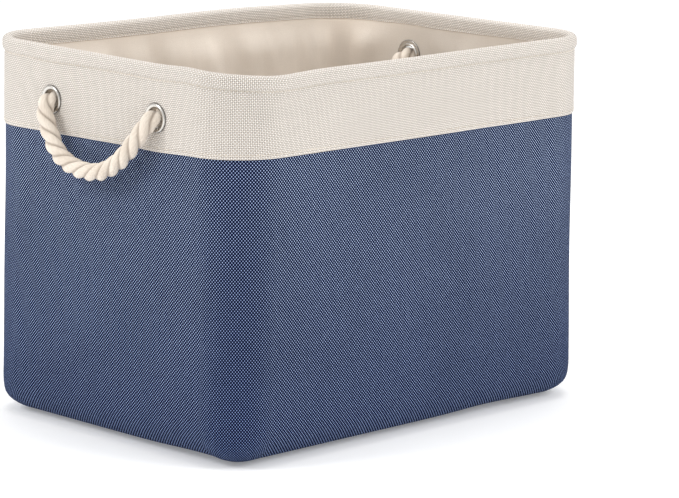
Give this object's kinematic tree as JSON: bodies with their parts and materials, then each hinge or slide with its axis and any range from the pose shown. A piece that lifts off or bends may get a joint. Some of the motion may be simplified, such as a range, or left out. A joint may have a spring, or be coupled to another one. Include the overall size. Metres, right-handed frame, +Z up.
{
  "type": "fabric storage bin",
  "caption": "Rectangular fabric storage bin with rounded corners, a wire-hooped rim band and a swinging knotted rope handle on each end.",
  "frame": {"origin": "middle of the bottom, on the surface the bin stands on", "axes": "+Z up, +X along the length towards the right-hand rope handle, +Y to the rear"},
  "size_m": [0.452, 0.2996, 0.2997],
  "materials": {
    "blue_cloth": "coarse plain weave, blue with pale flecks",
    "cream_cloth": "coarse plain weave, cream",
    "lining_cloth": "smooth close weave, beige",
    "seam_tape": "woven tape",
    "stiffener_board": "plain grey board",
    "base_board": "dense grey board",
    "hoop_wire": "drawn wire",
    "sleeve_metal": "crimped tube",
    "eyelet_metal": "bright nickel plate",
    "cotton_rope": "three-strand twisted cotton",
    "blue_thread": "sewing thread",
    "cream_thread": "sewing thread"
  },
  "bodies": {
    "bin": {"band_seam_stitching": "cream_thread", "band_stitching": "cream_thread", "base_seam_tape": "seam_tape", "base_stitching": "blue_thread", "eyelet_left_front": "eyelet_metal", "eyelet_left_rear": "eyelet_metal", "eyelet_right_front": "eyelet_metal", "eyelet_right_rear": "eyelet_metal", "hem_stitching": "cream_thread", "knot_left_front": "cotton_rope", "knot_left_rear": "cotton_rope", "knot_right_front": "cotton_rope", "knot_right_rear": "cotton_rope", "lining_base": "lining_cloth", "lining_stitching": "cream_thread", "lining_wall": "lining_cloth", "outer_base": "blue_cloth", "outer_wall": "blue_cloth", "rim_band": "cream_cloth", "rim_wire": "hoop_wire", "rope_tail_left_front": "cotton_rope", "rope_tail_left_rear": "cotton_rope", "rope_tail_right_front": "cotton_rope", "rope_tail_right_rear": "cotton_rope", "stiffener_back": "stiffener_board", "stiffener_front": "stiffener_board", "stiffener_left": "stiffener_board", "stiffener_right": "stiffener_board", "wall_seam_stitching": "blue_thread", "washer_left_front": "eyelet_metal", "washer_left_rear": "eyelet_metal", "washer_right_front": "eyelet_metal", "washer_right_rear": "eyelet_metal", "wire_sleeve": "sleeve_metal"},
    "handle_left": {"rope_loop_left": "cotton_rope"},
    "handle_right": {"rope_loop_right": "cotton_rope"},
    "base_board": {"base_board": "base_board", "board_cover": "lining_cloth"}
  },
  "joints": [
    {"name": "handle_left_swing", "type": "hinge", "parent": "bin", "child": "handle_left", "pos_m": [-0.211, 0, 0.2597], "axis": [0, 1, 0], "range_deg": [-8, 155]},
    {"name": "handle_right_swing", "type": "hinge", "parent": "bin", "child": "handle_right", "pos_m": [0.211, 0, 0.2597], "axis": [0, -1, 0], "range_deg": [-8, 155]},
    {"name": "base_board_tilt", "type": "hinge", "parent": "bin", "child": "base_board", "pos_m": [-0.1703, 0, 0.0049], "axis": [0, -1, 0], "range_deg": [0, 75]}
  ]
}
